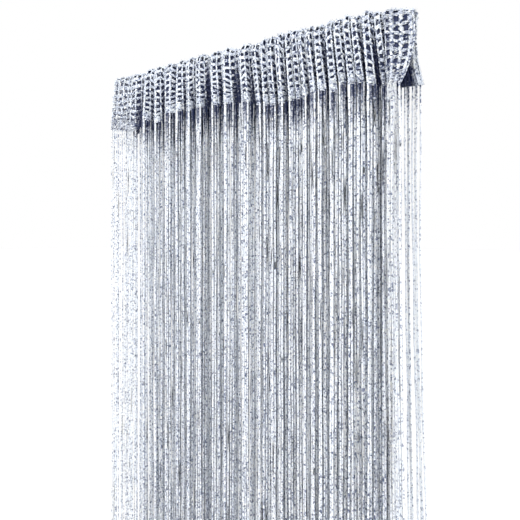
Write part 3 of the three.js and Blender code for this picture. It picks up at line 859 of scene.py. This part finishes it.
# The strands below the panels at both ends, which have painted light. uneven: the least and the most
# that one is darker than another. right_hem: the painted shade just below the right end's hem, if not
# in the back row.
ENDS_THICK = {"uneven": (-0.15, 0.2), "right_hem": 0.15}
ENDS_THIN = {"uneven": (-0.1, 0.4), "right_hem": 0.3}
ENDS_CONTRAST, ENDS_WIDTH = 0.6, 0.85  # their tones' and their widths' against the other strands'
ENDS_FACING = (0.0, 0.5)  # as FACING
# Painted light on the strands below the left and the right end.
LEFT_LIGHTER, RIGHT_LIGHTER = 0.14, 0.5
RIGHT_HEM_BACK, RIGHT_HEM_DOWN = 0.45, 0.028  # painted shade there in the back row, and metres down to where it ends

# The fine straight strands that fill the back row, between the thick and thin ones.
FINE = 0.5  # their thickness against the setting
FINE_SHARES = (1 / 6, 1 / 2, 5 / 6)  # of the way to the next thick strand
FINE_STEPS = (-TUCKED, 0.01, 0.02, 0.035, 0.05)  # metres below the hem of their first points
FINE_STRAIGHT, FINE_POINTS = 0.1, 9  # the next point's, and the number of these
FINE_TONE, FINE_TONE_HEM = (-0.5, 0.0), 0.85  # the lightest and the darkest, and the painted shade by the hem


class CURTAIN_OT_strings(Operator):
    """Hang the rows of strings below the two hems"""

    bl_idname = "curtain.strings"
    bl_label = "Hang the strings"

    def execute(self, context):
        settings = context.scene.curtain_strings
        chance = np.random.default_rng(settings.seed)
        self.bands = chance.normal(0, BANDING, int(CLOTH_WIDTH / BAND) + 2)
        for side, node, inward in (("front", "string_comb_front", 1), ("back", "string_comb_back", -1)):
            strands = self.row(side == "back", settings, chance)
            for part, on_right in (("left", False), ("right", True)):
                chosen = [strand for strand in strands if (strand[0][0, 0] > 0) == on_right]
                self.hang_up(f"strings_{side}_{part}", chosen, inward, node)
        return {"FINISHED"}

    def hang_up(self, name, strands, inward, node):
        """Makes one piece of strands, with painted shade on the side towards the other row."""
        mesh = strands_to_mesh(name, [strand[:2] for strand in strands])
        places = vertex_places(mesh)
        points, radii, tones, shades = zip(*strands)
        middles = [point[:, 1] for point in points]
        middle, radius, tone, shade = (corner_values(values) for values in (middles, radii, tones, shades))
        facing = ease(inward * (places[:, 1] - middle) / radius, *TURNED)
        finish_piece(mesh, places, tone + facing * shade, "cut metallised yarn", node)

    def row(self, back, settings, chance):
        """The strands below one hem: a thick one at every column of the knitting, and two thin ones
        between it and the next. They have painted light below the panels at both ends, and the thin ones
        are fewer there. The back row has fine ones too, except below these panels."""
        gaps = np.diff(WALES)[:, None]
        between = (WALES[:-1, None] + gaps * np.array([1 / 3, 2 / 3])).ravel()
        between += chance.uniform(-STRAY, STRAY, len(between))
        drawn_start = CLOTH_WIDTH - 2 * DRAWN_LENGTH
        strands = []
        for kind, alongs in ((THICK, WALES), (THIN, between)):
            for along in alongs:
                light = along < SLACK_LENGTH or along > drawn_start
                keep = 1 if back and along > CLOTH_WIDTH / 2 else ENDS_KEEP
                if kind is THIN and light and chance.uniform() > keep:
                    continue
                radius = settings.thickness / 2 * chance.uniform(0.85, 1.15)
                strands.append(self.strand(kind, along, back, radius, light, settings.sway, chance))
        if back:
            fine = (WALES[:-1, None] + gaps * np.array(FINE_SHARES)).ravel()
            fine = fine[(fine > SLACK_LENGTH) & (fine < drawn_start)]
            strands += [self.fine_strand(along, settings.thickness, chance) for along in fine]
        return strands

    def head(self, along, back):
        """The place of a hem at a length along it."""
        k, u = column_at(np.array([along]))
        one, none = np.ones(1), np.zeros(1)
        return hang(k, u, np.array([back]), one, none, none)[0]

    def slubs(self, top, end, sparse, chance):
        """Heights of a strand's slubs, which are further apart where it hangs low."""
        heights = [top - FIRST_SLUB]
        while heights[-1] > end + LAST_SLUB:
            step = mix(SLUB_STEP, LOW_SLUB_STEP, ease(top - heights[-1], *LOW))
            heights.append(heights[-1] - chance.uniform(0.6, 1.4) * sparse * step)
        return np.array(heights[:-1])

    def strand(self, kind, along, back, radius, light, sway, chance):
        """The points, radii, tones and shades of one strand, from its hem to its cut end."""
        x, y, z = self.head(along, back)
        end = END_OF_STRINGS + END_SPREAD * MM * chance.uniform(0, 1)
        slubs = self.slubs(z, end, kind["sparse"], chance)
        flanks = np.concatenate((slubs - SLUB, slubs + SLUB))
        between = (slubs[:-1] + slubs[1:]) / 2 if kind is THICK else []
        falls = np.sort(np.concatenate(([z + TUCKED, z - NECK, end], between, flanks, slubs)))[::-1]
        falls = falls[np.append(True, -np.diff(falls) > SHORTEST_STEP)]
        gone = z - falls
        points = self.course(x, y, falls, gone, sway, chance)
        slub, flank = (np.abs(falls[:, None] - at).min(1) < SHORTEST_STEP for at in (slubs, flanks))
        swollen = slub * chance.uniform(0.1, 0.9, len(falls))
        widths = kind["width"] * np.clip(1 + chance.normal(0, 0.1, len(falls)), 0.7, 1.3) + 0.5 * swollen
        by_hem = 1 - ease(gone, *BY_HEM)
        tones = chance.uniform(-0.1, 0.15) - LIGHTER + DARKER_DOWN * ease(gone, *DOWN)
        tones = tones + chance.normal(0, 0.1, len(falls))
        tones = tones - (SLUB_LIGHTER + SLUB_LIGHTER_DOWN * ease(gone, *SLUB_DOWN)) * swollen
        tones = tones + FLANK_DARKER * flank
        if light:
            tones = self.light_tones(tones, kind, along > CLOTH_WIDTH / 2, back, gone, chance)
            return points, radius * widths * ENDS_WIDTH, tones, mix(*ENDS_FACING, by_hem)
        if kind is THIN:
            points[:, 1] += (1 - 2 * back) * INWARD * MM
        widths = widths * (1 + kind["swell"] * by_hem)
        tones = tones + np.interp(along / BAND, np.arange(len(self.bands)), self.bands)
        tones = mix(tones - BACK_LIGHTER * back + kind["tone"], kind["tone_hem"], by_hem)
        return points, radius * widths, tones, mix(*FACING, by_hem)

    def course(self, x, y, falls, gone, sway, chance):
        """The points of a strand, which sways a little and at the right end drifts outwards."""
        stray = np.zeros((len(falls), 2))
        for turns, share in SWAYS:
            start = chance.uniform(0, 2 * math.pi, 2)
            stray += share * np.sin(turns * 2 * math.pi * gone[:, None] + start)
        across = stray * sway * ease(gone, 0, SWAYING)[:, None]
        adrift = DRIFT * MM * ease(x, *DRIFTING) * ease(gone, *DRIFTING_DOWN)
        return np.stack((x + adrift + across[:, 0], y + across[:, 1], falls), axis=1)

    def light_tones(self, tones, kind, on_right, back, gone, chance):
        """The tones of a strand below either end's panel, with painted light, and painted shade below the
        right end's hem, from those of another one.
        """
        ends = ENDS_THIN if kind is THIN else ENDS_THICK
        tones = ENDS_CONTRAST * tones - (RIGHT_LIGHTER if on_right else LEFT_LIGHTER)
        tones += chance.uniform(*ends["uneven"])
        if on_right:
            tones += (RIGHT_HEM_BACK if back else ends["right_hem"]) * (1 - ease(gone, 0, RIGHT_HEM_DOWN))
        return tones

    def fine_strand(self, along, thickness, chance):
        """The same as strand gives, for one of the fine strands."""
        x, y, z = self.head(along, True)
        end = END_OF_STRINGS + END_SPREAD * MM * chance.uniform(0, 1)
        lower = np.linspace(z - FINE_STRAIGHT, end, FINE_POINTS)
        falls = np.concatenate((z - np.array(FINE_STEPS), lower))
        by_hem = 1 - ease(z - falls, *BY_HEM)
        points = np.stack((x + 0 * falls, y - INWARD * MM + 0 * falls, falls), axis=1)
        tones = mix(chance.uniform(*FINE_TONE), FINE_TONE_HEM, by_hem)
        return points, np.full(len(falls), thickness / 2 * FINE), tones, mix(*FACING, by_hem)


# -------- the stage, in metres

FLOOR_BELOW = 0.03  # how far it is below the ends of the strings
FLOOR_SIZE = 60
LIT_PLACE = (0, 0, -0.25)  # both lamps point at it
KEY_LAMP = {"place": (-0.6, -2.1, 0.9), "size": 1.4}
FILL_LAMP = {"place": (1.6, -1.6, 0.2), "size": 1.6}
CAMERA_PLACE = (0.4055, -0.499, -0.233)
CAMERA_TURN = 36.4  # degrees to the left of straight ahead
CAMERA_SHIFT = -0.048076923  # of the frame, up or down
LENS = 36  # millimetres, and the sensor's width too


class CURTAIN_OT_stage(Operator):
    """Set the floor, the soft light and the camera"""

    bl_idname = "curtain.stage"
    bl_label = "Set the stage"

    def execute(self, context):
        settings = context.scene.curtain_stage
        scene = context.scene
        scene.view_settings.view_transform = "Standard"
        self.floor(scene)
        self.room(scene, settings.surround)
        self.lamp(scene, "key", power=settings.key_power, **KEY_LAMP)
        self.lamp(scene, "fill", power=settings.fill_power, **FILL_LAMP)
        self.camera(scene)
        return {"FINISHED"}

    def floor(self, scene):
        """A pale floor, just below the ends of the strings."""
        shape = bmesh.new()
        bmesh.ops.create_grid(shape, x_segments=1, y_segments=1, size=FLOOR_SIZE)
        bmesh.ops.translate(shape, verts=shape.verts, vec=(0, 0, END_OF_STRINGS - FLOOR_BELOW))
        mesh = bpy.data.meshes.new("floor")
        shape.to_mesh(mesh)
        shape.free()
        mesh.materials.append(pale_floor())
        floor = bpy.data.objects.new("floor", mesh)
        scene.collection.objects.link(floor)
        floor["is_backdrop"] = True

    def room(self, scene, surround):
        """A bright room that lights the curtain, and is plain white where it is seen or mirrored."""
        world = bpy.data.worlds.new("room")
        scene.world = world
        world.use_nodes = True
        tree = world.node_tree
        path = add_node(tree, "LightPath")
        seen = path.outputs["Is Camera Ray"]
        for kind in ("Is Glossy Ray", "Is Transmission Ray"):
            either = {0: seen, 1: path.outputs[kind]}
            seen = add_node(tree, "Math", either, operation="ADD", use_clamp=True).outputs[0]
        strength = add_node(tree, "MapRange", {"Value": seen, "To Min": surround, "To Max": 1.0})
        glow = {"Color": (1, 1, 1, 1), "Strength": strength.outputs["Result"]}
        set_inputs(tree, tree.nodes["Background"], glow)

    def lamp(self, scene, name, place, size, power):
        """A round lamp that points at the curtain."""
        data = bpy.data.lights.new(name, "AREA")
        data.shape = "DISK"
        data.size = size
        data.energy = power
        lamp = bpy.data.objects.new(name, data)
        lamp.location = place
        aim = Vector(LIT_PLACE) - Vector(place)
        lamp.rotation_euler = aim.to_track_quat("-Z", "Y").to_euler()
        scene.collection.objects.link(lamp)

    def camera(self, scene):
        """A level camera, to the right of the curtain and below its top edge."""
        data = bpy.data.cameras.new("camera")
        data.lens = data.sensor_width = LENS
        data.shift_y = CAMERA_SHIFT
        eye = bpy.data.objects.new("camera", data)
        eye.location = CAMERA_PLACE
        eye.rotation_euler = (math.radians(90), 0, math.radians(CAMERA_TURN))
        scene.collection.objects.link(eye)
        scene.camera = eye


# -------- the add-on


class CURTAIN_PT_panel(Panel):
    """The curtain's settings and steps"""

    bl_label = "String Curtain"
    bl_idname = "CURTAIN_PT_panel"
    bl_space_type = "VIEW_3D"
    bl_region_type = "UI"
    bl_category = "String Curtain"

    def draw(self, context):
        for name, group in SETTINGS.items():
            box = self.layout.box()
            for key in group.__annotations__:
                box.prop(getattr(context.scene, name), key)
        for step in STEPS:
            self.layout.operator(step.bl_idname)


STEPS = (CURTAIN_OT_yarn, CURTAIN_OT_heading, CURTAIN_OT_strings, CURTAIN_OT_stage)
CLASSES = (*SETTINGS.values(), *STEPS, CURTAIN_PT_panel)


def register():
    for made in CLASSES:
        bpy.utils.register_class(made)
    for name, group in SETTINGS.items():
        setattr(bpy.types.Scene, name, PointerProperty(type=group))


def unregister():
    for name in SETTINGS:
        delattr(bpy.types.Scene, name)
    for made in reversed(CLASSES):
        bpy.utils.unregister_class(made)


def main():
    register()
    bpy.ops.curtain.yarn()
    bpy.ops.curtain.heading()
    bpy.ops.curtain.strings()
    bpy.ops.curtain.stage()
    knitted = {piece.name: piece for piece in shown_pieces()}
    cloth = knitted.pop("heading_rungs")


if __name__ == "__main__":
    main()
